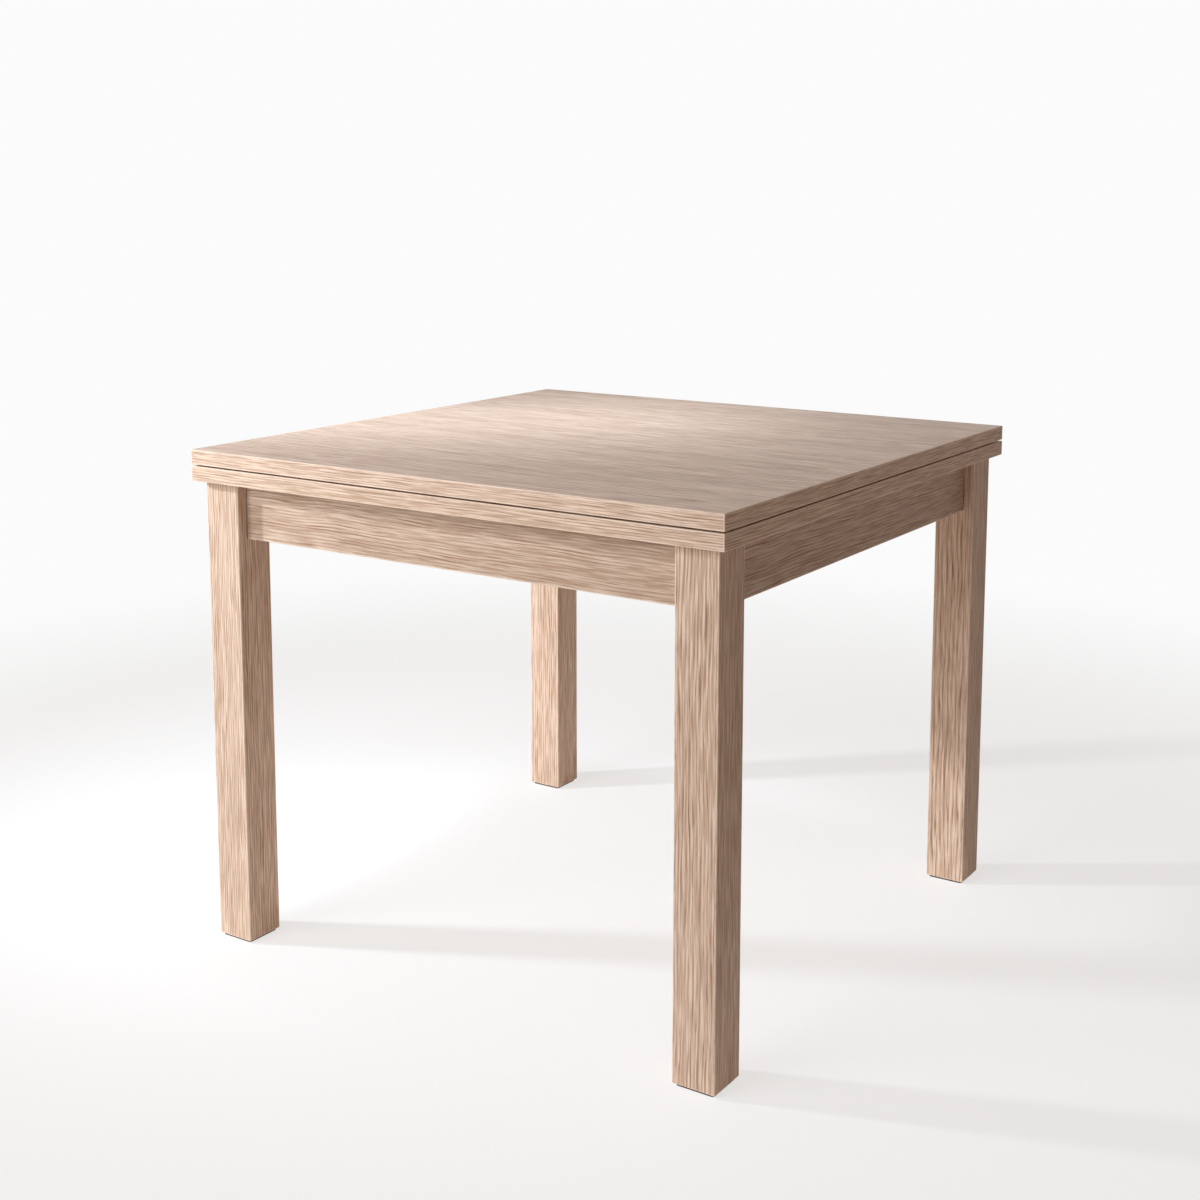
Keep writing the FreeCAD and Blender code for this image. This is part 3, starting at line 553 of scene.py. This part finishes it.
foot_felt = soft_finish(
    "foot felt", light=(0.11, 0.07, 0.05, 1), dark=(0.035, 0.022, 0.015, 1), **felt_look)
slide_felt = soft_finish(
    "slide felt", light=(0.26, 0.21, 0.17, 1), dark=(0.12, 0.09, 0.07, 1), **felt_look)
natural_nylon = soft_finish(
    "natural nylon", light=(0.8, 0.78, 0.71, 1), dark=(0.7, 0.67, 0.6, 1),
    fibres=400.0, roughness=(0.35, 0.5), strength=0.1)
grey_rubber = soft_finish(
    "grey rubber", light=(0.5, 0.47, 0.43, 1), dark=(0.4, 0.37, 0.33, 1),
    fibres=600.0, roughness=(0.5, 0.7), strength=0.15)
print("soft finishes:", foot_felt.name, slide_felt.name, natural_nylon.name, grey_rubber.name)

# %% [markdown]
# ## Each piece gets its finish
# The record names a finish for every piece. Most names stand for one material; the aprons, bands and
# plain wood need the direction of their grain as well. A list of pieces would have to be kept up by
# hand, so the longer side of each piece decides instead. The CAD objects are kept as they are and only
# the material in their slot changes.

# %% Hand out the finishes
finish_of = {part["node"]: part["material_slot"] for part in frame["record"]["subparts"]}
plain_finishes = {
    "oak_leg": oak["legs"],
    "oak_top": oak["leaves"],
    "foot_felt": foot_felt,
    "slide_felt": slide_felt,
    "nylon": natural_nylon,
    "bumper_rubber": grey_rubber,
    "hinge_nickel": satin_nickel,
    "zinc_plate": zinc_sheet,
    "bright_fastener": bright_zinc,
}
grained_finishes = {
    "oak_apron": (oak["long aprons"], oak["side aprons"]),
    "oak_band": (oak["long bands"], oak["side bands"]),
    "plain_beech": (beech_cleat, beech_rail),
}


def finish_for(node):
    """Material for one piece, by its finish and its longer side."""
    slot = finish_of[node]
    if slot in plain_finishes:
        return plain_finishes[slot]
    low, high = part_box(node)
    runs_sideways = (high - low).x >= (high - low).y
    return grained_finishes[slot][0 if runs_sideways else 1]


for node, piece in nodes.items():
    material = finish_for(node)
    if not piece.material_slots:
        piece.data.materials.append(material)
    for slot in piece.material_slots:
        slot.material = material
print("finished pieces:", len(nodes))

# %% [markdown]
# ## The studio
# The photograph was taken on a seamless white floor. A real sweep curves up behind the object, which
# would stand in the way of views from the back. A flat disc does the same work if it fades into the
# white world round it. Where it is seen, straight or mirrored in metal, it is mostly its own white, and
# the rest of it is plain diffuse, so the table's shadow stays on it. To all other rays it is an
# ordinary pale floor that throws light back up at the table. Under the table it also glows a little for
# those rays, in place of the light that a white room sends in between the legs.

# %% The floor's disc
floor_radius = 9.0
floor_corners = 96
bpy.ops.mesh.primitive_circle_add(
    vertices=floor_corners, radius=floor_radius, fill_type="NGON", location=(0, 0, 0))
floor = bpy.context.object
floor.name = "studio floor"
print("floor radius:", floor_radius)

# %% Shaders for the floor
def shine(tree, colour, strength=1.0):
    """Shader that gives off a colour."""
    return add_node(tree, "ShaderNodeEmission", {"Color": colour, "Strength": strength}).outputs[0]


def matt(tree, colour):
    """Plain diffuse shader."""
    return add_node(tree, "ShaderNodeBsdfDiffuse", {"Color": colour}).outputs[0]


def together(tree, first, second):
    """Sum of two shaders."""
    return add_node(tree, "ShaderNodeAddShader", {0: first, 1: second}).outputs[0]


def between(tree, share, first, second):
    """Mix of two shaders, by the share of the second."""
    return add_node(tree, "ShaderNodeMixShader", {0: share, 1: first, 2: second}).outputs[0]


def seen_directly(tree):
    """One for rays that show the background: the camera's, those in metal and those through glass."""
    rays = add_node(tree, "ShaderNodeLightPath").outputs
    direct = number(tree, "MAXIMUM", rays["Is Camera Ray"], rays["Is Glossy Ray"])
    return number(tree, "MAXIMUM", direct, rays["Is Transmission Ray"])


print("floor shaders ready")

# %% The floor's material
own_white = (0.665, 0.665, 0.665, 1)
shadow_catcher = (0.35, 0.355, 0.36, 1)
studio_white = (0.965, 0.965, 0.965, 1)
fade_range = (0.85, 2.6)
pale_floor = (0.92, 0.9, 0.88, 1)
warm_glow = (1.0, 0.94, 0.88, 1)
glow_range = (0.25, 0.85)
glow_strengths = (0.4, 0.0)

floor_material = bpy.data.materials.new("white studio floor")
floor_material.use_nodes = True
tree = floor_material.node_tree
tree.nodes.clear()
away = distance(tree, object_place(tree))
near_floor = together(tree, shine(tree, own_white), matt(tree, shadow_catcher))
fade = spread(tree, away, fade_range, ease="SMOOTHSTEP")
seen_floor = between(tree, fade, near_floor, shine(tree, studio_white))
glow = spread(tree, away, glow_range, glow_strengths, ease="SMOOTHSTEP")
lighting_floor = together(tree, matt(tree, pale_floor), shine(tree, warm_glow, glow))
whole_floor = between(tree, seen_directly(tree), lighting_floor, seen_floor)
add_node(tree, "ShaderNodeOutputMaterial", {"Surface": whole_floor})
floor.data.materials.append(floor_material)
print("floor fades between", fade_range, "m and glows within", glow_range[1], "m")

# %% [markdown]
# ## The world
# A white studio has no visible end, so where the world is seen it has the same white as the far floor,
# and no horizon shows between them. As a light it has to be much weaker, because the faces on the right
# lie in deep shade. A painted backdrop would throw too much light, and a mix by the kind of ray gives
# both: white where the world is seen, and dim and warm where it lights the wood.

# %% White to the eye, dim as a light
shade_light = (0.235, 0.178, 0.143, 1)

world = bpy.data.worlds.new("white studio")
bpy.context.scene.world = world
world.use_nodes = True
tree = world.node_tree
sky_colour = tint(tree, seen_directly(tree), shade_light, studio_white)
fill(tree, tree.nodes["Background"].inputs, {"Color": sky_colour})
print("world:", world.name, "lights with", shade_light[:3])

# %% [markdown]
# ## Light
# The light in the photograph comes low from the left, a little to the front, so that the left legs are
# bright and the faces to the right lie in shade. The shadows on the floor spread from one point, and a
# soft-edged spot stands above it. A sun lamp would be simpler, but its shadows run side by side. A wide
# soft box in front reaches under the top and opens the shade up, and a narrow strip over the top gives
# the pool of light towards its back. Their levels are plain: a face turned to the light comes out about
# as pale as its material says.

# %% Functions for lamps
def new_lamp(name, kind, power, colour):
    """Lamp of a kind, linked into the scene. Its power is in watts."""
    lamp = bpy.data.objects.new(name, bpy.data.lights.new(name, kind))
    lamp.data.energy = power
    lamp.data.color = colour
    bpy.context.scene.collection.objects.link(lamp)
    return lamp


def new_panel(name, power, colour, width, height):
    """Lamp that is a lit rectangle."""
    lamp = new_lamp(name, "AREA", power, colour)
    lamp.data.shape = "RECTANGLE"
    lamp.data.size = width
    lamp.data.size_y = height
    return lamp


def aim(lamp, place, target):
    """Set a lamp at a place and turn it to a target."""
    lamp.location = place
    lamp.rotation_euler = (Vector(target) - Vector(place)).to_track_quat("-Z", "Y").to_euler()


print("lamp functions ready")

# %% Lamps
key = new_lamp("low key from the left", "SPOT", power=278.0, colour=(0.95, 1.0, 1.05))
key.data.spot_size = math.radians(62)
key.data.spot_blend = 1.0
key.data.shadow_soft_size = 0.1
aim(key, place=(-2.35, -1.43, 1.6), target=(-0.1, 0.4, 0.4))

soft_box = new_panel("soft box in front", power=60.0, colour=(0.98, 1.0, 1.02), width=2.2, height=1.8)
aim(soft_box, place=(-1.2, -3.1, 1.6), target=(-0.1, 0.0, 0.45))

pool = new_panel(
    "strip over the back of the top", power=1.1, colour=(0.9, 1.0, 1.12), width=0.95, height=0.42)
pool.data.spread = math.radians(25)
pool.location = (-0.31, 0.03, 2.35)
pool.rotation_euler = (0.0, 0.0, math.radians(33.8))
print("lamps:", ", ".join(lamp.name for lamp in (key, soft_box, pool)))

# %% [markdown]
# ## Camera
# The camera was found by matching the table's corners, feet and leg edges to the photograph: it stands
# to the right of the front at a little over a metre, turned to the left and tipped slightly down. The
# table sits low in the picture with its uprights parallel, as with a lens shifted far down. The lens
# here is shifted less, because the views from other sides keep the shift, so the legs lean a little.

# %% Place the camera
camera_place = Vector((1.448, -2.208, 1.139))
camera_turn = math.radians(33.77)
camera_tip = math.radians(7.82)
film_width = 36.0
lens_length = 52.05
lens_shift = -0.15

camera_data = bpy.data.cameras.new("studio camera")
camera_data.sensor_width = film_width
camera_data.lens = lens_length
camera_data.shift_y = lens_shift
camera = bpy.data.objects.new("studio camera", camera_data)
camera.location = camera_place
camera.rotation_euler = (quarter_turn - camera_tip, 0.0, camera_turn)
bpy.context.scene.collection.objects.link(camera)
bpy.context.scene.camera = camera
bpy.context.scene.view_settings.view_transform = "Standard"
print("camera at", tuple(round(v, 2) for v in camera_place), "lens", lens_length)
